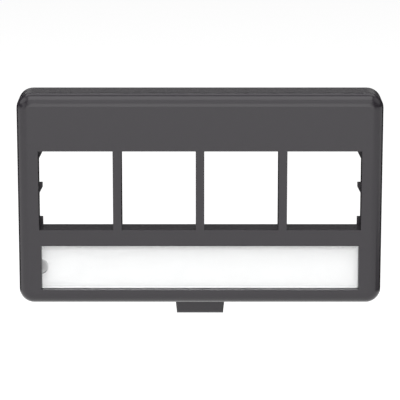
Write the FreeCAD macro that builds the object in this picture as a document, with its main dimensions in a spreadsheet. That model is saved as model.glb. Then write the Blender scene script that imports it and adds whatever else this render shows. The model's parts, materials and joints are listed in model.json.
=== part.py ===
"""Four-port keystone faceplate that snaps into a modular-furniture opening.

The faceplate is one ABS moulding: a box with an open back, four keystone ports with
their latch rail and sill, a recess for a label, and the hooks and the snap that hold it
in the furniture panel. A paper label lies in the recess under a clear, removable cover.

Frame, in millimetres: X to the right, Y to the back, Z up. The origin is the centre of
the rear rim's plane, which is the front surface of the furniture panel. The visible face
is at Y = -plate_depth, and whatever has Y > 0 lies inside the furniture opening.
"""
import FreeCAD
import Part
import Sketcher
import os
import re

SIZES = {
    # the box
    "side_margin": (4.28, "plate's side to the outer port"),
    "top_margin": (11.43, "plate's top to the ports"),
    "mid_bar": (3.28, "bar between the ports and the label window"),
    "bottom_margin": (3.05, "label window to the plate's bottom"),
    "plate_depth": (8.4, "face to rear rim"),
    "corner_radius": (3.0, "corners seen from the front"),
    "front_round": (2.35, "round between the face and the side walls"),
    "outer_wall": (1.8, "side walls of the box"),
    "front_web": (2.0, "wall behind the face"),
    "edge_break": (0.08, "rounded edges of the windows in the face"),
    "inner_round": (1.0, "corners inside the box"),
    # the ports
    "port_count": (4, "ports in the row"),
    "port_width": (14.82, "width of a port window"),
    "port_height": (16.12, "height of a port window"),
    "divider_width": (1.72, "wall between two ports"),
    "port_depth": (5.4, "face to the rear of dividers, sill and end walls"),
    "sill_thickness": (2.0, "shelf under the ports that a jack's fixed hook grips"),
    "end_relief": (0.16, "end wall set back from the window's edge"),
    "end_wall": (1.3, "wall outside the first and the last port"),
    # the lugs on the end walls
    "lug_reach": (0.66, "how far the lugs stand into the port"),
    "lug_thickness": (0.7, "lugs, front to back"),
    "lug_foot": (1.72, "lowest lug's height above the sill"),
    "notch_height": (6.16, "gap between two lugs, with its ramp"),
    "notch_pitch": (7.09, "from one gap to the next"),
    "notch_ramp": (1.3, "height of the sloped end under a lug"),
    "notch_count": (2, "gaps in a row of lugs"),
    # the rail over the ports
    "rail_thickness": (1.6, "rail that a jack's latch bears on"),
    "rail_setback": (0.4, "rear rim to the rail's rear edge"),
    "catch_rise": (1.83, "port window to the catch's lower edge"),
    "catch_thickness": (1.6, "catch, front to back"),
    # the label recess
    "label_side": (4.57, "plate's side to the label window"),
    "label_height": (9.08, "height of the label window"),
    "tray_wall": (1.5, "wall around the label recess"),
    "tray_floor": (1.5, "floor of the label recess"),
    # the label and its cover
    "cover_inset": (1.02, "face to the cover's front"),
    "cover_thickness": (1.0, "cover, front to back"),
    "cover_gap": (0.1, "cover's edge to the recess wall"),
    "cover_rim": (0.5, "width of the lower border round the cover"),
    "rim_step": (0.15, "depth of that border"),
    "notch_radius": (1.49, "half-round finger notch in the cover"),
    "notch_offset": (0.2, "notch's centre outside the label window"),
    "card_thickness": (0.3, "paper label"),
    "card_gap": (0.15, "label's edge to the recess wall"),
    # the furniture opening and what holds the plate in it
    "side_lap": (2.2, "rim's overlap on the panel, left and right"),
    "top_lap": (3.98, "rim's overlap on the panel, top and bottom"),
    "opening_gap": (0.3, "play between the hooks and the opening's edge"),
    "panel_grip": (2.1, "space for the panel behind the rim"),
    "hook_width": (8.0, "fixed hooks over the panel's top edge"),
    "hook_thickness": (1.4, "hook and barb, front to back"),
    "hook_lip": (1.5, "hook and barb past the rail and the arm"),
    "arm_thickness": (1.4, "sprung arm of the snap"),
    "tab_width": (10.18, "release tab where it leaves the plate"),
    "tab_taper": (0.37, "narrowing of each side at the tab's end"),
    "tab_reach": (3.58, "release tab past the plate's bottom"),
    "tab_thickness": (1.8, "release tab, front to back"),
    "tab_setback": (0.2, "release tab off the panel"),
    "slot_gap": (0.5, "play round the tab where it passes the wall"),
    "tab_bevel": (0.3, "bevel round the tab's front"),
}

# Lengths closer than this are the same, and a solid's volume changes by more than that.
SAME_LENGTH = 1e-3
SAME_VOLUME = 1e-6

# The round of the face takes at most this share of the corner's radius and of the depth.
ROUND_SHARE = 0.9

# Places that follow from the sizes. Each is an expression over the sheet.
PORTS_EDGE = "((port_count * (port_width + divider_width) - divider_width) / 2)"
PLATE_EDGE = f"({PORTS_EDGE} + side_margin)"
PLATE_TOP = "((top_margin + port_height + mid_bar + label_height + bottom_margin) / 2)"
PORT_TOP = f"({PLATE_TOP} - top_margin)"
PORT_BOTTOM = f"({PORT_TOP} - port_height)"
LABEL_TOP = f"({PORT_BOTTOM} - mid_bar)"
LABEL_BOTTOM = f"({LABEL_TOP} - label_height)"
LABEL_EDGE = f"({PLATE_EDGE} - label_side)"
LABEL_FLOOR = "(cover_inset + cover_thickness + card_thickness)"
SILL_UNDERSIDE = f"({PORT_BOTTOM} - sill_thickness)"
END_FACE = f"({PORTS_EDGE} + end_relief)"
OPENING_EDGE = f"({PLATE_EDGE} - side_lap - opening_gap)"
OPENING_TOP = f"({PLATE_TOP} - top_lap - opening_gap)"
RAIL_UNDERSIDE = f"({OPENING_TOP} - rail_thickness)"
RAIL_REAR = "(0 - rail_setback)"
HOOK_REAR = "(panel_grip + hook_thickness)"
TAB_REAR = "(0 - tab_setback)"
TAB_FRONT = f"({TAB_REAR} - tab_thickness)"
TAB_END = f"(0 - {PLATE_TOP} - tab_reach)"
ARM_TOP = f"(arm_thickness - {OPENING_TOP})"


def sized(expression):
    """Point every size named in an expression at its cell in the sheet."""
    return re.sub(r"\b[a-z]+(?:_[a-z]+)+\b", lambda word: "Sizes." + word.group(), str(expression))


def make_sheet(doc):
    """Write the driving dimensions into the document's spreadsheet."""
    sheet = doc.addObject("Spreadsheet::Sheet", "Sizes")
    for row, (alias, (value, note)) in enumerate(SIZES.items(), start=1):
        sheet.set(f"A{row}", alias)
        sheet.set(f"B{row}", str(value))
        sheet.setAlias(f"B{row}", alias)
        sheet.set(f"C{row}", note)
    doc.recompute()
    return sheet


class Piece:
    """One moulded or cut piece: a PartDesign body whose features read the sheet."""

    def __init__(self, doc, name):
        self.doc = doc
        self.sheet = doc.getObject("Sizes")
        self.body = doc.addObject("PartDesign::Body", name)
        self.body.Label = name
        self.body.Placement = FreeCAD.Placement()

    def value(self, expression):
        """Evaluate an expression over the sheet."""
        return float(self.sheet.evalExpression(sized(expression)))

    def origin_feature(self, role):
        """Find one of the body's own planes or axes."""
        return next(f for f in self.body.Origin.OriginFeatures if f.Role == role)

    def sketch(self, name, plane="XZ_Plane", depth="0"):
        """Start a sketch; on XZ_Plane depth is measured from the rear rim to the front."""
        sketch = self.body.newObject("Sketcher::SketchObject", name)
        sketch.AttachmentSupport = [(self.origin_feature(plane), "")]
        sketch.MapMode = "FlatFace"
        sketch.setExpression(".AttachmentOffset.Base.z", sized(depth))
        return sketch

    def fix(self, sketch, kind, geometry, point, expression):
        """Tie one coordinate of a sketch point to an expression."""
        index = sketch.addConstraint(
            Sketcher.Constraint(kind, -1, 1, geometry, point, self.value(expression))
        )
        sketch.setExpression(f"Constraints[{index}]", sized(expression))

    def outline(self, sketch, *corners):
        """Close a line through corners, each a pair of expressions."""
        points = [FreeCAD.Vector(self.value(x), self.value(y), 0) for x, y in corners]
        first = sketch.GeometryCount
        count = len(points)
        for i, point in enumerate(points):
            sketch.addGeometry(Part.LineSegment(point, points[(i + 1) % count]), False)
        for i, (x, y) in enumerate(corners):
            following = first + (i + 1) % count
            sketch.addConstraint(Sketcher.Constraint("Coincident", first + i, 2, following, 1))
            self.fix(sketch, "DistanceX", first + i, 1, x)
            self.fix(sketch, "DistanceY", first + i, 1, y)

    def rectangle(self, sketch, left, right, bottom, top):
        """Draw a rectangle from four expressions."""
        self.outline(sketch, (left, bottom), (right, bottom), (right, top), (left, top))

    def circle(self, sketch, x, y, radius):
        """Draw a circle from three expressions."""
        centre = FreeCAD.Vector(self.value(x), self.value(y), 0)
        normal = FreeCAD.Vector(0, 0, 1)
        index = sketch.addGeometry(Part.Circle(centre, normal, self.value(radius)), False)
        self.fix(sketch, "DistanceX", index, 3, x)
        self.fix(sketch, "DistanceY", index, 3, y)
        size = sketch.addConstraint(Sketcher.Constraint("Radius", index, self.value(radius)))
        sketch.setExpression(f"Constraints[{size}]", sized(radius))

    def feature(self, kind, name, sketch, length, reverse=False, both_sides=False):
        """Extrude a sketch as a Pad or a Pocket and check that it changed the solid."""
        before = self.volume()
        feature = self.body.newObject(f"PartDesign::{kind}", name)
        feature.Profile = sketch
        feature.Reversed = reverse
        feature.SideType = "Symmetric" if both_sides else "One side"
        feature.setExpression("Length", sized(length))
        self.doc.recompute()
        self.check_change(name, before)
        return feature

    def pad(self, name, sketch, length, to_rear=False, both_sides=False):
        """Add material: from the sketch to the front, to the rear or to both sides."""
        return self.feature("Pad", name, sketch, length, to_rear, both_sides)

    def cut(self, name, sketch, length, to_front=False, both_sides=False):
        """Remove material: from the sketch to the rear, to the front or to both sides."""
        return self.feature("Pocket", name, sketch, length, to_front, both_sides)

    def row_of(self, name, original, axis, spacing, count):
        """Repeat a feature along one of the body's axes."""
        before = self.volume()
        pattern = self.body.newObject("PartDesign::LinearPattern", name)
        pattern.Originals = [original]
        pattern.Direction = (self.origin_feature(axis), [""])
        pattern.setExpression("Length", sized(f"{spacing} * ({count} - 1)"))
        pattern.setExpression("Occurrences", sized(count))
        self.body.Tip = pattern
        self.doc.recompute()
        self.check_change(name, before)
        return pattern

    def mirror(self, name, original):
        """Mirror a feature from one side of the plate to the other."""
        before = self.volume()
        mirrored = self.body.newObject("PartDesign::Mirrored", name)
        mirrored.Originals = [original]
        mirrored.MirrorPlane = (self.origin_feature("YZ_Plane"), [""])
        self.body.Tip = mirrored
        self.doc.recompute()
        self.check_change(name, before)
        return mirrored

    def edge_feature(self, kind, name, chosen, size):
        """Round or bevel the edges of the present solid that chosen(edge) picks."""
        before = self.volume()
        tip = self.body.Tip
        picked = [f"Edge{i}" for i, edge in enumerate(tip.Shape.Edges, start=1) if chosen(edge)]
        feature = self.body.newObject(f"PartDesign::{kind}", name)
        feature.Base = (tip, picked)
        feature.setExpression("Radius" if kind == "Fillet" else "Size", sized(size))
        self.doc.recompute()
        self.check_change(name, before)
        return feature

    def round_edges(self, name, radius, chosen):
        """Give chosen edges a radius."""
        return self.edge_feature("Fillet", name, chosen, radius)

    def bevel_edges(self, name, size, chosen):
        """Give chosen edges a flat bevel."""
        return self.edge_feature("Chamfer", name, chosen, size)

    def volume(self):
        """Return the present solid's volume."""
        return self.body.Shape.Volume if self.body.Tip else 0.0

    def check_change(self, name, before):
        """Stop if a feature left the solid as it was."""
        if abs(self.volume() - before) < SAME_VOLUME:
            raise RuntimeError(f"{self.body.Label}: {name} changes nothing")


def near(one, other):
    """Tell whether two lengths are the same."""
    return abs(one - other) < SAME_LENGTH


def runs_front_to_back(edge):
    """Tell whether an edge is a straight line along Y."""
    return near(edge.BoundBox.YLength, edge.Length)


def lies_at_depth(edge, y):
    """Tell whether a whole edge lies in the plane at y."""
    return near(edge.BoundBox.YMin, y) and near(edge.BoundBox.YMax, y)


def make_box(plate):
    """Make the box with its rounded front and its hollow back."""
    outline = plate.sketch("box_outline")
    plate.rectangle(outline, f"-{PLATE_EDGE}", PLATE_EDGE, f"-{PLATE_TOP}", PLATE_TOP)
    plate.pad("box", outline, "plate_depth")
    plate.round_edges("box_corners", "corner_radius", runs_front_to_back)
    face = -plate.value("plate_depth")
    plate.round_edges(
        "box_front_edge",
        f"min(front_round; {ROUND_SHARE} * corner_radius; {ROUND_SHARE} * plate_depth)",
        lambda edge: lies_at_depth(edge, face),
    )
    hollow = plate.sketch("hollow_outline")
    side = f"({PLATE_EDGE} - outer_wall)"
    top = f"({PLATE_TOP} - outer_wall)"
    plate.rectangle(hollow, f"-{side}", side, f"-{top}", top)
    plate.cut("hollow", hollow, "plate_depth - front_web", to_front=True)
    inner_edge = plate.value(side)
    plate.round_edges(
        "hollow_corners",
        "inner_round",
        lambda edge: runs_front_to_back(edge) and near(abs(edge.BoundBox.Center.x), inner_edge),
    )


def make_port_walls(plate):
    """Make the sill, the latch rail, the dividers and the end walls behind the face."""
    web = "(plate_depth - front_web)"
    wall_length = "port_depth - front_web"
    end_outer = f"({END_FACE} + end_wall)"
    rail_middle = f"({RAIL_UNDERSIDE} + rail_thickness / 2)"

    sill = plate.sketch("sill_outline", depth=web)
    plate.rectangle(sill, f"-{end_outer}", end_outer, SILL_UNDERSIDE, PORT_BOTTOM)
    plate.pad("sill", sill, wall_length, to_rear=True)

    rail = plate.sketch("rail_profile", plane="YZ_Plane")
    catch_front = f"({RAIL_REAR} - catch_thickness)"
    catch_low = f"({PORT_TOP} + catch_rise)"
    plate.outline(
        rail,
        (f"-{web}", RAIL_UNDERSIDE),
        (catch_front, RAIL_UNDERSIDE),
        (catch_front, catch_low),
        (RAIL_REAR, catch_low),
        (RAIL_REAR, OPENING_TOP),
        (f"-{web}", OPENING_TOP),
    )
    plate.pad("rail", rail, f"2 * {OPENING_EDGE}", both_sides=True)

    ends = plate.sketch("end_wall_outline", depth=web)
    plate.rectangle(ends, END_FACE, end_outer, SILL_UNDERSIDE, rail_middle)
    plate.rectangle(ends, f"-{end_outer}", f"-{END_FACE}", SILL_UNDERSIDE, rail_middle)
    plate.pad("end_walls", ends, wall_length, to_rear=True)

    divider = plate.sketch("divider_outline", depth=web)
    first = f"(port_width - {PORTS_EDGE})"
    plate.rectangle(divider, first, f"{first} + divider_width", SILL_UNDERSIDE, rail_middle)
    one_divider = plate.pad("divider", divider, wall_length, to_rear=True)
    pitch = "(port_width + divider_width)"
    plate.row_of("dividers", one_divider, "X_Axis", pitch, "(port_count - 1)")


def make_end_lugs(plate):
    """Make the thin lugs at the rear of both end walls, with a sloped underside each."""
    rear = "(plate_depth - port_depth)"
    lug_edge = f"({END_FACE} - lug_reach)"
    inside_wall = f"({END_FACE} + end_wall / 2)"
    rail_middle = f"({RAIL_UNDERSIDE} + rail_thickness / 2)"

    strip = plate.sketch("lug_strip_outline", depth=rear)
    plate.rectangle(strip, lug_edge, inside_wall, PORT_BOTTOM, rail_middle)
    plate.rectangle(strip, f"-{inside_wall}", f"-{lug_edge}", PORT_BOTTOM, rail_middle)
    plate.pad("lug_strips", strip, "lug_thickness")

    gap = plate.sketch("lug_gap_outline", depth=rear)
    low = f"({PORT_BOTTOM} + lug_foot)"
    ramp_foot = f"({low} + notch_height - notch_ramp)"
    for side in ("", "-"):
        plate.outline(
            gap,
            (f"{side}{lug_edge}", low),
            (f"{side}{END_FACE}", low),
            (f"{side}{END_FACE}", ramp_foot),
            (f"{side}{lug_edge}", f"{low} + notch_height"),
        )
    one_gap = plate.cut("lug_gap", gap, "lug_thickness", to_front=True)
    plate.row_of("lug_gaps", one_gap, "Z_Axis", "notch_pitch", "notch_count")


def make_windows(plate):
    """Cut the row of port windows through the face."""
    window = plate.sketch("window_outline", depth="plate_depth")
    left = f"-{PORTS_EDGE}"
    plate.rectangle(window, left, f"{left} + port_width", PORT_BOTTOM, PORT_TOP)
    one_window = plate.cut("window", window, "front_web")
    pitch = "(port_width + divider_width)"
    plate.row_of("windows", one_window, "X_Axis", pitch, "port_count")


def make_label_recess(plate):
    """Make the tray behind the face and cut the label recess into it."""
    tray = plate.sketch("tray_outline", depth="plate_depth - front_web")
    side = f"({LABEL_EDGE} + tray_wall)"
    inside_wall = f"(outer_wall / 2 - {PLATE_TOP})"
    plate.rectangle(tray, f"-{side}", side, inside_wall, f"{LABEL_TOP} + tray_wall")
    plate.pad("tray", tray, f"{LABEL_FLOOR} + tray_floor - front_web", to_rear=True)

    recess = plate.sketch("recess_outline", depth="plate_depth")
    plate.rectangle(recess, f"-{LABEL_EDGE}", LABEL_EDGE, LABEL_BOTTOM, LABEL_TOP)
    plate.cut("recess", recess, LABEL_FLOOR)


def break_window_edges(plate):
    """Round the front edges of the port windows and of the label recess."""
    face = -plate.value("plate_depth")
    port_top = plate.value(PORT_TOP)
    label_bottom = plate.value(LABEL_BOTTOM)
    plate.round_edges(
        "window_edges",
        "edge_break",
        lambda edge: lies_at_depth(edge, face)
        and edge.BoundBox.ZMax < port_top + SAME_LENGTH
        and edge.BoundBox.ZMin > label_bottom - SAME_LENGTH,
    )


def make_hooks(plate):
    """Make the two fixed hooks that go behind the panel's top edge."""
    hook = plate.sketch("hook_profile", plane="YZ_Plane", depth=f"{OPENING_EDGE} - hook_width")
    start = f"({RAIL_REAR} - catch_thickness)"
    plate.outline(
        hook,
        (start, RAIL_UNDERSIDE),
        (HOOK_REAR, RAIL_UNDERSIDE),
        (HOOK_REAR, f"{OPENING_TOP} + hook_lip / 2"),
        ("panel_grip + hook_thickness / 2", f"{OPENING_TOP} + hook_lip"),
        ("panel_grip", f"{OPENING_TOP} + hook_lip"),
        ("panel_grip", OPENING_TOP),
        (start, OPENING_TOP),
    )
    one_hook = plate.pad("right_hook", hook, "hook_width")
    plate.mirror("left_hook", one_hook)


def make_snap(plate):
    """Make the sprung arm under the opening's edge and the tab that releases it."""
    slot = plate.sketch("tab_slot_outline")
    half = "(tab_width / 2 + slot_gap)"
    plate.rectangle(slot, f"-{half}", half, TAB_END, f"outer_wall + slot_gap - {PLATE_TOP}")
    plate.cut("tab_slot", slot, f"slot_gap - {TAB_FRONT}", to_front=True)

    arm = plate.sketch("arm_profile", plane="YZ_Plane")
    start = f"({LABEL_FLOOR} + tray_floor / 2 - plate_depth)"
    plate.outline(
        arm,
        (start, ARM_TOP),
        (start, f"-{OPENING_TOP}"),
        ("panel_grip", f"-{OPENING_TOP}"),
        ("panel_grip", f"-{OPENING_TOP} - hook_lip"),
        (HOOK_REAR, f"-{OPENING_TOP}"),
        (HOOK_REAR, ARM_TOP),
    )
    plate.pad("snap_arm", arm, "tab_width", both_sides=True)

    tab = plate.sketch("tab_outline", depth=f"0 - {TAB_REAR}")
    root = f"(arm_thickness / 2 - {OPENING_TOP})"
    bottom = f"(0 - {PLATE_TOP})"
    end_half = "(tab_width / 2 - tab_taper)"
    plate.outline(
        tab,
        ("tab_width / 2", root),
        ("-tab_width / 2", root),
        ("-tab_width / 2", bottom),
        (f"-{end_half}", TAB_END),
        (end_half, TAB_END),
        ("tab_width / 2", bottom),
    )
    plate.pad("release_tab", tab, "tab_thickness")
    front = plate.value(TAB_FRONT)
    underside = -plate.value(OPENING_TOP)
    plate.bevel_edges(
        "tab_front_bevel",
        "tab_bevel",
        lambda edge: lies_at_depth(edge, front) and edge.BoundBox.ZMin < underside - SAME_LENGTH,
    )


def make_faceplate(doc):
    """Make the ABS moulding."""
    plate = Piece(doc, "faceplate")
    make_box(plate)
    make_port_walls(plate)
    make_end_lugs(plate)
    make_windows(plate)
    make_label_recess(plate)
    break_window_edges(plate)
    make_hooks(plate)
    make_snap(plate)
    return plate


def make_label_card(doc):
    """Make the paper label that lies on the recess floor."""
    card = Piece(doc, "label_card")
    outline = card.sketch("card_outline", depth=f"plate_depth - {LABEL_FLOOR}")
    half = f"({LABEL_EDGE} - card_gap)"
    card.rectangle(outline, f"-{half}", half, f"{LABEL_BOTTOM} + card_gap", f"{LABEL_TOP} - card_gap")
    card.pad("card", outline, "card_thickness")
    return card


def make_label_cover(doc):
    """Make the clear cover, with its lower border and the finger notch at its left end."""
    cover = Piece(doc, "label_cover")
    back = "plate_depth - cover_inset - cover_thickness"
    for name, inset, length in (
        ("cover_plate", "cover_gap", "cover_thickness - rim_step"),
        ("cover_panel", "(cover_gap + cover_rim)", "cover_thickness"),
    ):
        outline = cover.sketch(f"{name}_outline", depth=back)
        half = f"({LABEL_EDGE} - {inset})"
        low = f"{LABEL_BOTTOM} + {inset}"
        cover.rectangle(outline, f"-{half}", half, low, f"{LABEL_TOP} - {inset}")
        cover.pad(name, outline, length)
    notch = cover.sketch("finger_notch_outline", depth=back)
    middle = f"({LABEL_TOP} + {LABEL_BOTTOM}) / 2"
    cover.circle(notch, f"-{LABEL_EDGE} - notch_offset", middle, "notch_radius")
    cover.cut("finger_notch", notch, "cover_thickness", to_front=True)
    return cover


def check_document(doc, pieces):
    """Stop if any object failed or any piece isn't one valid solid."""
    for item in doc.Objects:
        if "Invalid" in item.State or "Error" in item.State:
            raise RuntimeError(f"{item.Label} failed: {item.State}")
    for piece in pieces:
        shape = piece.body.Shape
        if shape.isNull() or not shape.isValid() or len(shape.Solids) != 1:
            raise RuntimeError(f"{piece.body.Label} isn't one valid solid")


def main():
    """Build the document and write one STEP file a piece."""
    doc = FreeCAD.newDocument("keystone_faceplate")
    make_sheet(doc)
    pieces = [make_faceplate(doc), make_label_card(doc), make_label_cover(doc)]
    doc.recompute()
    check_document(doc, pieces)
    os.makedirs("parts", exist_ok=True)
    for piece in pieces:
        piece.body.Shape.exportStep(f"parts/{piece.body.Label}.step")
        box = piece.body.Shape.BoundBox
        print(f"{piece.body.Label}: {piece.volume():.1f} mm3, {box}")


main()
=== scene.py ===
"""Dresses the four-port keystone faceplate and sets it in a plain pale studio.

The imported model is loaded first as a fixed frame. Each sub-assembly is a class that holds its
sizes and dresses its own pieces, each finish is a frozen dataclass that builds one procedural
material, and the studio makes the floor, the lights and the camera. Every length is in metres.
"""
import json
import logging
from dataclasses import dataclass, field
from enum import Enum
from typing import Dict, Tuple, Union

import bpy
import numpy as np
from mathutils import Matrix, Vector

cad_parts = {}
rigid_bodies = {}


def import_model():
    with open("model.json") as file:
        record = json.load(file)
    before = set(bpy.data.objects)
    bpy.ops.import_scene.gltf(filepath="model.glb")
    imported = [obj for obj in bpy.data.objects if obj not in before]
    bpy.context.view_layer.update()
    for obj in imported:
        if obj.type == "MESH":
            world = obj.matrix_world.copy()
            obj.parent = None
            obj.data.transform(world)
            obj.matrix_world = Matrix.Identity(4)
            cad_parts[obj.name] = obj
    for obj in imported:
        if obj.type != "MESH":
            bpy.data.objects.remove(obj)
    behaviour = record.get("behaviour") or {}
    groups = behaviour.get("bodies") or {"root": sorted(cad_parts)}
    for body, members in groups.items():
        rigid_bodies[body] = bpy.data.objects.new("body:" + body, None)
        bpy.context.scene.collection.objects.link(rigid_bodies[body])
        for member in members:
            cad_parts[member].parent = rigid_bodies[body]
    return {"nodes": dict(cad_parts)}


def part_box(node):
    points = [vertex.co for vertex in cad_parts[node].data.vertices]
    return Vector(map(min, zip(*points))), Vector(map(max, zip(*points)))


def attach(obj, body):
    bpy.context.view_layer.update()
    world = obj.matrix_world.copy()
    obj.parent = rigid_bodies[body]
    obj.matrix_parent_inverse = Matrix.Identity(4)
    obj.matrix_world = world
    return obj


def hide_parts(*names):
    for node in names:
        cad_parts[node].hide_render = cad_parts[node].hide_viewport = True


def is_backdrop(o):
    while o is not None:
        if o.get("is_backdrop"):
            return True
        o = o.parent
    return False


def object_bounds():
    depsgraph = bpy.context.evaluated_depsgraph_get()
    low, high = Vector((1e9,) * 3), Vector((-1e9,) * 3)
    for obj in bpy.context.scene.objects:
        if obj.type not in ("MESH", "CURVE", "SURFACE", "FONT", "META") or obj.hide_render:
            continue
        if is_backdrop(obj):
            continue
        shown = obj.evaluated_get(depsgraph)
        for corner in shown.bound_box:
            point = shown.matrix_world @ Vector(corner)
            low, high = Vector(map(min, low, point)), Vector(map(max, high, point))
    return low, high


Colour = Tuple[float, float, float]
Degrees = Union[float, np.ndarray]
Nodes = Dict[str, bpy.types.Object]
Socket = bpy.types.NodeSocket
Source = Union[float, Tuple[float, ...], Socket]

LOG = logging.getLogger("keystone_faceplate")
MM = 0.001
MICRON = 0.000001
WHITE = (1.0, 1.0, 1.0, 1.0)


class Node(Enum):
    """The CAD nodes of the part."""

    FACEPLATE = "faceplate"
    CARD = "label_card"
    COVER = "label_cover"


class Body(Enum):
    """The bodies that the joint keeps apart."""

    PLATE = "plate"
    COVER = "cover"


class GroupSocket(Enum):
    """The kinds of sockets that the shared node groups use."""

    VALUE = "NodeSocketFloat"
    COLOUR = "NodeSocketColor"
    VECTOR = "NodeSocketVector"


# ---------------------------------------------------------------------------------------
# Node trees
# ---------------------------------------------------------------------------------------


class NodeBoard:
    """A node tree, with short ways to add nodes to it and to feed them.

    A source is an output to follow, or a number or a colour to keep.
    """

    def __init__(self, tree: bpy.types.NodeTree) -> None:
        """Keep the tree."""
        self.tree = tree

    def node(self, kind: str, **settings: Union[str, bpy.types.NodeTree]) -> bpy.types.Node:
        """Add a node and set its properties.

        Args:
            kind: The node's class name.
            **settings: Properties of the node.

        Returns:
            The new node.
        """
        made = self.tree.nodes.new(kind)
        for key, value in settings.items():
            setattr(made, key, value)
        return made

    def connect(self, target: Socket, source: Source) -> None:
        """Feed one input.

        Args:
            target: The input.
            source: What it follows or keeps.
        """
        if isinstance(source, Socket):
            self.tree.links.new(source, target)
        else:
            target.default_value = source

    def feed(self, node: bpy.types.Node, **sources: Source) -> None:
        """Feed a node's inputs by name, with underscores for spaces."""
        for name, source in sources.items():
            self.connect(node.inputs[name.replace("_", " ")], source)

    def join(self, node: bpy.types.Node, *sources: Source) -> Socket:
        """Feed a node's inputs in order.

        Args:
            node: The node.
            *sources: What its first inputs follow or keep.

        Returns:
            The node's first output.
        """
        for target, source in zip(node.inputs, sources):
            self.connect(target, source)
        return node.outputs[0]

    def math(self, operation: str, *operands: Source) -> Socket:
        """Work out one operation on numbers and outputs, and return its result."""
        return self.join(self.node("ShaderNodeMath", operation=operation), *operands)

    def looked_at(self) -> Socket:
        """Mark the rays that look at a surface, straight, by gloss or through glass.

        Returns:
            The mark, which is 1 for these rays and 0 for those that gather its light.
        """
        path = self.node("ShaderNodeLightPath").outputs
        seen = self.math("MAXIMUM", path["Is Camera Ray"], path["Is Glossy Ray"])
        return self.math("MAXIMUM", seen, path["Is Transmission Ray"])


# ---------------------------------------------------------------------------------------
# Shared effects
# ---------------------------------------------------------------------------------------

NOISE_MEAN = 0.5
GRAIN_DETAIL = 2.0
GRAIN_ROUGHNESS = 0.55
PIT_SMOOTHNESS = 0.6
PIT_FINENESS = 3.0  # how many pits there are along one crater
PIT_SHARE = 0.35  # how much of the pits' height joins the craters'
DRIFT_DETAIL = 3.0


class EffectGroup(NodeBoard):
    """A shader node group with named inputs and outputs, built once and used by finishes."""

    def __init__(
        self, name: str, takes: Dict[str, GroupSocket], gives: Dict[str, GroupSocket]
    ) -> None:
        """Start a group with all its sockets.

        Args:
            name: The group's name.
            takes: The name and the kind of each input.
            gives: The name and the kind of each output.
        """
        super().__init__(bpy.data.node_groups.new(name, "ShaderNodeTree"))
        for side, kinds in (("INPUT", takes), ("OUTPUT", gives)):
            for label, kind in kinds.items():
                self.tree.interface.new_socket(name=label, in_out=side, socket_type=kind.value)
        self.inputs = self.node("NodeGroupInput").outputs
        self.exit = self.node("NodeGroupOutput")


def build_spark_grain() -> bpy.types.NodeTree:
    """Build the fine texture that a spark-eroded mould leaves on plastic.

    Craters of noise and finer pits are added, and the sum is the relief. The craters alone,
    centred on zero and multiplied by the contrast, are the mask for the roughness.

    Returns:
        The group, with inputs Vector, Crater and Contrast and outputs Relief and Mask.
    """
    value = GroupSocket.VALUE
    group = EffectGroup(
        "spark_grain",
        takes={"Vector": GroupSocket.VECTOR, "Crater": value, "Contrast": value},
        gives={"Relief": value, "Mask": value},
    )
    place, scale = group.inputs["Vector"], group.inputs["Crater"]
    craters = group.node("ShaderNodeTexNoise", noise_dimensions="3D")
    group.feed(craters, Vector=place, Scale=scale, Detail=GRAIN_DETAIL, Roughness=GRAIN_ROUGHNESS)
    height = craters.outputs[0]
    pits = group.node("ShaderNodeTexVoronoi", feature="SMOOTH_F1")
    finer = group.math("MULTIPLY", scale, PIT_FINENESS)
    group.feed(pits, Vector=place, Scale=finer, Smoothness=PIT_SMOOTHNESS)
    share = group.math("MULTIPLY", pits.outputs["Distance"], PIT_SHARE)
    centred = group.math("SUBTRACT", height, NOISE_MEAN)
    group.feed(
        group.exit,
        Relief=group.math("ADD", height, share),
        Mask=group.math("MULTIPLY", centred, group.inputs["Contrast"]),
    )
    return group.tree


def build_tone_drift() -> bpy.types.NodeTree:
    """Build the slow change of tone that pigment in plastic or pulp in paper shows.

    The colour is multiplied by one plus the amount times broad noise, which runs from -1
    to 1.

    Returns:
        The group, with inputs Vector, Colour, Amount and Patch and output Colour.
    """
    value, colour = GroupSocket.VALUE, GroupSocket.COLOUR
    group = EffectGroup(
        "tone_drift",
        takes={"Vector": GroupSocket.VECTOR, "Colour": colour, "Amount": value, "Patch": value},
        gives={"Colour": colour},
    )
    patches = group.node("ShaderNodeTexNoise", noise_dimensions="3D")
    group.feed(
        patches, Vector=group.inputs["Vector"], Scale=group.inputs["Patch"], Detail=DRIFT_DETAIL
    )
    centred = group.math("SUBTRACT", patches.outputs[0], NOISE_MEAN)
    swing = group.math("MULTIPLY", centred, group.inputs["Amount"])
    factor = group.math("MULTIPLY_ADD", swing, 1.0 / NOISE_MEAN, 1.0)
    scaled = group.node("ShaderNodeVectorMath", operation="SCALE")
    group.connect(scaled.inputs[0], group.inputs["Colour"])
    group.feed(scaled, Scale=factor)
    group.feed(group.exit, Colour=scaled.outputs[0])
    return group.tree


# ---------------------------------------------------------------------------------------
# Finishes
# ---------------------------------------------------------------------------------------


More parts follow.
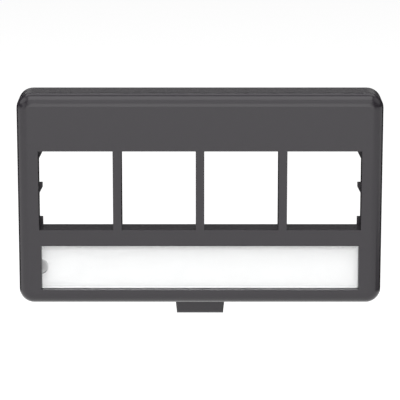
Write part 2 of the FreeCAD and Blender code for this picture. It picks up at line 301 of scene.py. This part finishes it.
class FinishBuilder(NodeBoard):
    """A material with a Principled shader and the effects that the finishes share."""

    def __init__(self, name: str) -> None:
        """Start a material.

        Args:
            name: The material's name.
        """
        self.material = bpy.data.materials.new(name)
        self.material.use_nodes = True
        super().__init__(self.material.node_tree)
        self.shader = self.tree.nodes["Principled BSDF"]
        self.place = self.node("ShaderNodeTexCoord").outputs["Object"]

    def effect(self, tree: bpy.types.NodeTree, **sources: Source) -> bpy.types.Node:
        """Place a shared effect on Object coordinates.

        Args:
            tree: The effect's node group.
            **sources: What the group's other inputs follow or keep.

        Returns:
            The group node.
        """
        group = self.node("ShaderNodeGroup", node_tree=tree)
        self.feed(group, Vector=self.place, **sources)
        return group

    def tone(self, drift: bpy.types.NodeTree, colour: Colour, amount: float, patch: float) -> None:
        """Give the base colour a slow drift over the surface.

        Args:
            drift: The tone drift effect.
            colour: The colour that it drifts about.
            amount: The largest share by which it grows lighter or darker.
            patch: How many patches of it lie along a metre.
        """
        tone = self.effect(drift, Colour=(*colour, 1.0), Amount=amount, Patch=patch)
        self.feed(self.shader, Base_Color=tone.outputs["Colour"])

    def texture(
        self, grain: bpy.types.NodeTree, scale: float, depth: float, roughness: float, swing: float
    ) -> None:
        """Give the surface a fine relief, and a roughness that changes over it.

        Args:
            grain: The spark grain effect.
            scale: How many craters lie along a metre.
            depth: The depth of the relief in metres.
            roughness: The middle of the roughness.
            swing: The width of the roughness's swing.
        """
        surface = self.effect(grain, Crater=scale, Contrast=swing).outputs
        bump = self.node("ShaderNodeBump")
        self.feed(bump, Strength=1.0, Distance=depth, Height=surface["Relief"])
        rough = self.math("ADD", surface["Mask"], roughness)
        self.feed(self.shader, Roughness=rough, Normal=bump.outputs["Normal"])

    def show(self, source: Socket) -> None:
        """Let the surface show another shader than the Principled one alone."""
        self.feed(self.tree.nodes["Material Output"], Surface=source)


@dataclass(frozen=True)
class MouldedPlastic:
    """Charcoal ABS with the fine spark-eroded texture of a moulded faceplate."""

    colour: Colour = (0.0452, 0.0398, 0.0479)
    roughness: float = 0.22
    roughness_swing: float = 0.08
    crater_scale: float = 14000.0
    crater_depth: float = 1.0 * MICRON
    drift: float = 0.03
    patch_scale: float = 70.0
    ior: float = 1.53

    def build(self, grain: bpy.types.NodeTree, drift: bpy.types.NodeTree) -> bpy.types.Material:
        """Build the material.

        Args:
            grain: The spark grain effect.
            drift: The tone drift effect.

        Returns:
            The material.
        """
        made = FinishBuilder("moulded_plastic")
        made.feed(made.shader, IOR=self.ior)
        made.tone(drift, self.colour, self.drift, self.patch_scale)
        made.texture(
            grain, self.crater_scale, self.crater_depth, self.roughness, self.roughness_swing
        )
        return made.material


@dataclass(frozen=True)
class LabelPaper:
    """White uncoated paper with a faint fibre texture."""

    colour: Colour = (0.90, 0.90, 0.90)
    roughness: float = 0.85
    roughness_swing: float = 0.08
    fibre_scale: float = 3200.0
    fibre_depth: float = 3.0 * MICRON
    drift: float = 0.012
    patch_scale: float = 180.0

    def build(self, grain: bpy.types.NodeTree, drift: bpy.types.NodeTree) -> bpy.types.Material:
        """Build the material.

        Args:
            grain: The spark grain effect, which serves for the pulp's surface too.
            drift: The tone drift effect.

        Returns:
            The material.
        """
        made = FinishBuilder("label_paper")
        made.tone(drift, self.colour, self.drift, self.patch_scale)
        made.texture(
            grain, self.fibre_scale, self.fibre_depth, self.roughness, self.roughness_swing
        )
        return made.material


@dataclass(frozen=True)
class ClearPlastic:
    """Clear styrene sheet that lets the lamps reach the paper under it.

    Light that enters by the sheet's face is caught inside at its cut edges, so the edges
    hand on only a part of it.
    """

    tint: Colour = (0.985, 0.988, 0.988)
    edge_tint: Colour = (0.30, 0.30, 0.31)
    roughness: float = 0.06
    roughness_swing: float = 0.04
    drift: float = 0.004
    patch_scale: float = 40.0
    ripple_scale: float = 260.0
    ripple_depth: float = 1.5 * MICRON
    ior: float = 1.49

    def build(self, grain: bpy.types.NodeTree, drift: bpy.types.NodeTree) -> bpy.types.Material:
        """Build the material: the sheet's own shader, and plain passage for shadow rays.

        Args:
            grain: The spark grain effect, used here at the scale of a moulding's flow.
            drift: The tone drift effect.

        Returns:
            The material.
        """
        made = FinishBuilder("clear_plastic")
        made.feed(made.shader, IOR=self.ior, Transmission_Weight=1.0, Metallic=0.0)
        made.tone(drift, self.tint, self.drift, self.patch_scale)
        made.texture(
            grain, self.ripple_scale, self.ripple_depth, self.roughness, self.roughness_swing
        )
        passage = made.node("ShaderNodeBsdfTransparent")
        made.feed(passage, Color=self.build_passage_colour(made))
        shadow = made.node("ShaderNodeLightPath").outputs["Is Shadow Ray"]
        mix = made.node("ShaderNodeMixShader")
        made.show(made.join(mix, shadow, made.shader.outputs[0], passage.outputs[0]))
        return made.material

    def build_passage_colour(self, made: FinishBuilder) -> Socket:
        """Mix the face's tint and the edges' tint by how far a surface leans from the face.

        Args:
            made: The material that is being built.

        Returns:
            The colour that shadow rays are multiplied by.
        """
        apart = made.node("ShaderNodeSeparateXYZ")
        made.join(apart, made.node("ShaderNodeNewGeometry").outputs["True Normal"])
        mix = made.node("ShaderNodeMix", data_type="RGBA")
        made.feed(mix, Factor=made.math("ABSOLUTE", apart.outputs["Y"]))
        ends = [socket for socket in mix.inputs if socket.type == "RGBA"]
        for end, tint in zip(ends, (self.edge_tint, self.tint)):
            made.connect(end, (*tint, 1.0))
        return next(socket for socket in mix.outputs if socket.type == "RGBA" and socket.enabled)


@dataclass(frozen=True)
class PaleFloor:
    """Pale floor paint with a lift, white to look at except in deep shadow."""

    colour: Colour = (0.42, 0.42, 0.42)
    roughness: float = 0.9
    lift: float = 0.90

    def build(self) -> bpy.types.Material:
        """Build the material, whose lift is seen by camera, glossy and transmitted rays.

        Returns:
            The material.
        """
        made = FinishBuilder("pale_floor")
        made.feed(
            made.shader,
            Roughness=self.roughness,
            Base_Color=(*self.colour, 1.0),
            Specular_IOR_Level=0.0,
        )
        glow = made.node("ShaderNodeEmission")
        made.feed(glow, Strength=made.math("MULTIPLY", made.looked_at(), self.lift))
        both = made.node("ShaderNodeAddShader")
        made.show(made.join(both, made.shader.outputs[0], glow.outputs[0]))
        return made.material


@dataclass(frozen=True)
class BlackFelt:
    """The cloth of the studio's flags."""

    colour: Colour = (0.0, 0.0, 0.0)
    roughness: float = 1.0

    def build(self) -> bpy.types.Material:
        """Build the material.

        Returns:
            The material.
        """
        made = FinishBuilder("black_felt")
        made.feed(
            made.shader,
            Roughness=self.roughness,
            Base_Color=(*self.colour, 1.0),
            Specular_IOR_Level=0.0,
        )
        return made.material


@dataclass
class FinishSet:
    """All the finishes of the part, each built once."""

    moulded: MouldedPlastic = field(default_factory=MouldedPlastic)
    paper: LabelPaper = field(default_factory=LabelPaper)
    clear: ClearPlastic = field(default_factory=ClearPlastic)
    floor: PaleFloor = field(default_factory=PaleFloor)
    felt: BlackFelt = field(default_factory=BlackFelt)

    def __post_init__(self) -> None:
        """Build the shared effects and the materials that use them."""
        grain, drift = build_spark_grain(), build_tone_drift()
        self.moulded_material = self.moulded.build(grain, drift)
        self.paper_material = self.paper.build(grain, drift)
        self.clear_material = self.clear.build(grain, drift)
        self.floor_material = self.floor.build()
        self.felt_material = self.felt.build()


# ---------------------------------------------------------------------------------------
# The part
# ---------------------------------------------------------------------------------------


def dress(piece: bpy.types.Object, material: bpy.types.Material) -> None:
    """Put one material in every slot of a CAD node's object.

    Args:
        piece: The CAD node's object.
        material: Its material.
    """
    if not piece.material_slots:
        piece.data.materials.append(material)
    for slot in piece.material_slots:
        slot.material = material
    LOG.info("%s wears %s", piece.name, material.name)


def grid_faces(rows: int, columns: int, offset: int = 0, turned: bool = False) -> np.ndarray:
    """List the faces of a grid of points that are numbered row by row.

    The face at row i and column j joins the points (i, j), (i, j + 1), (i + 1, j + 1) and
    (i + 1, j), in that order or backwards.

    Args:
        rows: The number of points in a column.
        columns: The number of points in a row.
        offset: The number of the grid's first point.
        turned: True to make the faces look the other way.

    Returns:
        An array of (number of faces, 4) point numbers.
    """
    corner = (np.arange(rows - 1)[:, None] * columns + np.arange(columns - 1)[None, :]).ravel()
    faces = offset + np.stack((corner, corner + 1, corner + columns + 1, corner + columns), axis=-1)
    return faces[:, ::-1] if turned else faces


def closed_slab(front: np.ndarray, back: np.ndarray) -> Tuple[np.ndarray, np.ndarray]:
    """Close two grids of the same size into a slab, with a ring of faces round their edges.

    Args:
        front: The front grid, whose faces look towards -Y.
        back: The back grid.

    Returns:
        The points, an array of (n, 3), and the faces, an array of (m, 4).
    """
    rows, columns = front.shape[:2]
    number = np.arange(rows * columns).reshape(rows, columns)
    ring = np.concatenate((number[0, :-1], number[:-1, -1], number[-1, :0:-1], number[:0:-1, 0]))
    after = np.roll(ring, -1)
    behind = rows * columns
    walls = np.stack((after, ring, ring + behind, after + behind), axis=-1)
    faces = np.concatenate(
        (grid_faces(rows, columns), grid_faces(rows, columns, behind, turned=True), walls)
    )
    return np.concatenate((front.reshape(-1, 3), back.reshape(-1, 3))), faces


def mesh_object(
    name: str, points: np.ndarray, faces: np.ndarray, material: bpy.types.Material
) -> bpy.types.Object:
    """Put points and faces into a new object at the origin.

    Args:
        name: The object's name.
        points: An array of (n, 3) places in metres.
        faces: An array of (m, 4) point numbers.
        material: The object's material.

    Returns:
        The object.
    """
    mesh = bpy.data.meshes.new(name)
    mesh.from_pydata(points.tolist(), [], faces.tolist())
    mesh.materials.append(material)
    made = bpy.data.objects.new(name, mesh)
    bpy.context.scene.collection.objects.link(made)
    return made


@dataclass
class Moulding:
    """The faceplate itself, one charcoal moulding that shows as it is in CAD."""

    nodes: Nodes
    finishes: FinishSet

    def build(self) -> None:
        """Dress the moulding."""
        dress(self.nodes[Node.FACEPLATE.value], self.finishes.moulded_material)


@dataclass
class LabelInsert:
    """The paper label and the clear cover that holds it down."""

    nodes: Nodes
    finishes: FinishSet
    play: float = 0.03 * MM  # from the cover to the sheet's upper and lower edges
    bow: float = 0.06 * MM  # how much further back the sheet's middle line lies
    spread: float = 0.13 * MM  # how far the sheet reaches past the card all round
    seat_clearance: float = 0.01 * MM  # from the sheet's back to the floor of the recess
    cells_along: int = 48
    cells_across: int = 16

    def sheet_front(self, low: Vector, high: Vector) -> np.ndarray:
        """Work out the sheet's front surface.

        A point is (x, y, z) with x and z running evenly over the sheet, and y set back from
        the cover by the play plus the bow times one minus v squared, with v from -1 to 1
        across the sheet: it lies furthest from the cover along its middle line.

        Args:
            low: The lowest corner of the sheet's place.
            high: The highest corner of it.

        Returns:
            The points as an array of (cells_across + 1, cells_along + 1, 3).
        """
        along = np.linspace(low.x, high.x, self.cells_along + 1)
        across = np.linspace(-1.0, 1.0, self.cells_across + 1)
        x, v = np.meshgrid(along, across)
        y = low.y + self.play + self.bow * (1.0 - v**2)
        z = (low.z + high.z) / 2 + v * (high.z - low.z) / 2
        return np.stack((x, y, z), axis=-1)

    def build_paper(self) -> bpy.types.Object:
        """Build the sheet as a thin closed slab that stands for the CAD card.

        Returns:
            The sheet's object.
        """
        low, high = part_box(Node.CARD.value)
        margin = Vector((self.spread, 0.0, self.spread))
        front = self.sheet_front(low - margin, high + margin)
        back = front.copy()
        back[..., 1] = high.y - self.seat_clearance
        points, faces = closed_slab(front, back)
        sheet = mesh_object("label_paper", points, faces, self.finishes.paper_material)
        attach(sheet, Body.PLATE.value)
        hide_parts(Node.CARD.value)
        LOG.info("%s of %d faces", sheet.name, len(faces))
        return sheet

    def build(self) -> None:
        """Build the sheet and dress its cover and the card that it stands for."""
        dress(self.nodes[Node.CARD.value], self.finishes.paper_material)
        dress(self.nodes[Node.COVER.value], self.finishes.clear_material)
        self.build_paper()


# ---------------------------------------------------------------------------------------
# The studio
# ---------------------------------------------------------------------------------------


def directions(azimuth: Degrees, elevation: Degrees) -> np.ndarray:
    """Point from the part outwards: azimuth 0 is in front of it and 90 to its right.

    A direction is (sine of azimuth times cosine of elevation, minus the cosine of azimuth
    times cosine of elevation, sine of elevation).

    Args:
        azimuth: Degrees about the vertical, from the front to the right.
        elevation: Degrees above the horizon.

    Returns:
        The unit vectors, with x, y and z along the last axis.
    """
    turn, rise = np.radians(azimuth), np.radians(elevation)
    return np.stack(
        (np.sin(turn) * np.cos(rise), -np.cos(turn) * np.cos(rise), np.sin(rise)), axis=-1
    )


@dataclass(frozen=True)
class SoftBox:
    """A rectangular lamp that faces the part."""

    name: str
    azimuth: float
    elevation: float
    width: float
    height: float
    radiance: float
    distance: float = 1.5

    def build(self, centre: Vector) -> bpy.types.Object:
        """Build the lamp.

        Args:
            centre: The point that the lamp faces.

        Returns:
            The lamp's object.
        """
        lamp = bpy.data.lights.new(self.name, "AREA")
        lamp.shape = "RECTANGLE"
        lamp.size, lamp.size_y = self.width, self.height
        lamp.energy = self.radiance * np.pi * self.width * self.height
        lamp_object = bpy.data.objects.new(self.name, lamp)
        away = Vector(directions(self.azimuth, self.elevation))
        lamp_object.location = centre + away * self.distance
        lamp_object.rotation_euler = away.to_track_quat("Z", "Y").to_euler()
        lamp_object.visible_camera = False
        bpy.context.scene.collection.objects.link(lamp_object)
        LOG.info("lamp %s of radiance %.2f", self.name, self.radiance)
        return lamp_object


@dataclass(frozen=True)
class Flag:
    """A curved black screen that only reflections show."""

    name: str
    azimuth: Tuple[float, float]
    elevation: Tuple[float, float]
    distance: float
    cell: float = 10.0

    def build(self, centre: Vector, felt: bpy.types.Material) -> bpy.types.Object:
        """Build the screen as a patch of a sphere.

        A point is the centre plus the distance times the direction of one azimuth and one
        elevation, both running evenly from one limit to the other.

        Args:
            centre: The middle of the sphere.
            felt: The screen's material.

        Returns:
            The screen's object.
        """
        turns, rises = (
            np.linspace(low, high, round((high - low) / self.cell) + 1)
            for low, high in (self.azimuth, self.elevation)
        )
        points = np.array(centre) + self.distance * directions(*np.meshgrid(turns, rises))
        faces = grid_faces(len(rises), len(turns))
        screen = mesh_object(self.name, points.reshape(-1, 3), faces, felt)
        screen.visible_camera = False
        screen.visible_diffuse = False
        screen.visible_shadow = False
        screen.visible_transmission = False
        screen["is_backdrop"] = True
        LOG.info("flag %s", self.name)
        return screen


@dataclass
class Studio:
    """The pale floor, the soft lamps and the camera round the part."""

    finishes: FinishSet
    low: Vector
    high: Vector
    floor_drop: float = 200 * MM  # below the part's lowest point
    floor_reach: float = 6.0
    floor_cells: int = 24
    surround: float = 0.03  # the room's strength for the light it gives
    camera_azimuth: float = 0.0
    camera_elevation: float = 13.05
    camera_distance: float = 452.96 * MM
    camera_lens: float = 204.17
    aim_height: float = 0.184 * MM
    # Each lamp's name, azimuth, elevation, width, height and radiance.
    lamps: Tuple[SoftBox, ...] = (
        SoftBox("overhead_box", 0.0, 76.5, 1.25, 1.24, 1.91),
        SoftBox("brow_box", 0.0, 38.0, 1.25, 0.75, 1.32),
        SoftBox("front_box", 0.0, 8.0, 1.25, 0.80, 1.02),
        SoftBox("centre_box", 0.0, 9.0, 0.5, 0.6, 1.18),
        SoftBox("left_box", -47.4, 12.0, 0.8, 0.7, 0.80),
        SoftBox("left_top_box", -85.0, 38.0, 1.2, 1.1, 1.1),
        SoftBox("right_top_box", 85.0, 38.0, 1.2, 1.1, 0.6),
        SoftBox("rear_low_strip", 180.0, 8.0, 1.73, 0.12, 0.66),
        SoftBox("rear_mid_strip", 178.0, 36.0, 1.3, 0.16, 1.7),
        SoftBox("rear_high_strip", 180.0, 57.0, 1.73, 0.50, 1.1),
    )
    # Each flag's name, limits of azimuth, limits of elevation and distance.
    flags: Tuple[Flag, ...] = (
        Flag("rear_flag", (115.0, 245.0), (-32.0, 2.0), 0.6),
        Flag("side_flag", (66.0, 115.0), (-32.0, -14.0), 0.6),
        Flag("ceiling_flag", (0.0, 360.0), (0.0, 90.0), 2.6),
    )

    def build_floor(self) -> bpy.types.Object:
        """Build the floor as a square grid that lies flat below the part.

        A point of the surface is (u times reach, v times reach, z of the floor) with u and v
        from -1 to 1.

        Returns:
            The floor's object.
        """
        steps = np.linspace(-self.floor_reach, self.floor_reach, self.floor_cells + 1)
        x, y = np.meshgrid(steps, steps)
        points = np.stack((x, y, np.full_like(x, self.low.z - self.floor_drop)), axis=-1)
        faces = grid_faces(len(steps), len(steps))
        floor = mesh_object("floor", points.reshape(-1, 3), faces, self.finishes.floor_material)
        floor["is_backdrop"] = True
        LOG.info("floor of %d faces", len(faces))
        return floor

    def build_world(self) -> None:
        """Fill the rest of the room: white to look at, and dim for the light it gives."""
        world = bpy.data.worlds.new("room")
        world.use_nodes = True
        board = NodeBoard(world.node_tree)
        strength = board.math("MAXIMUM", board.looked_at(), self.surround)
        board.feed(board.tree.nodes["Background"], Color=WHITE, Strength=strength)
        bpy.context.scene.world = world

    def build_camera(self) -> bpy.types.Object:
        """Build the camera, which looks at the middle of the face from a little above.

        Returns:
            The camera's object.
        """
        lens = bpy.data.cameras.new("camera")
        lens.lens = self.camera_lens
        camera = bpy.data.objects.new("camera", lens)
        away = Vector(directions(self.camera_azimuth, self.camera_elevation))
        aim = Vector((0.0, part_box(Node.FACEPLATE.value)[0].y, self.aim_height))
        camera.location = aim + away * self.camera_distance
        camera.rotation_euler = away.to_track_quat("Z", "Y").to_euler()
        bpy.context.scene.collection.objects.link(camera)
        bpy.context.scene.camera = camera
        return camera

    def build(self) -> None:
        """Build the whole studio."""
        self.build_floor()
        self.build_world()
        centre = (self.low + self.high) / 2
        for lamp in self.lamps:
            lamp.build(centre)
        for flag in self.flags:
            flag.build(centre, self.finishes.felt_material)
        self.build_camera()
        bpy.context.scene.view_settings.view_transform = "Standard"


def main() -> None:
    """Load the frame, dress each sub-assembly in order and set the studio round it."""
    logging.basicConfig(level=logging.INFO, format="%(name)s: %(message)s")
    for leftover in list(bpy.data.objects):
        bpy.data.objects.remove(leftover)
    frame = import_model()
    cad_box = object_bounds()
    finishes = FinishSet()
    Moulding(frame["nodes"], finishes).build()
    LabelInsert(frame["nodes"], finishes).build()
    Studio(finishes, *cad_box).build()


if __name__ == "__main__":
    main()
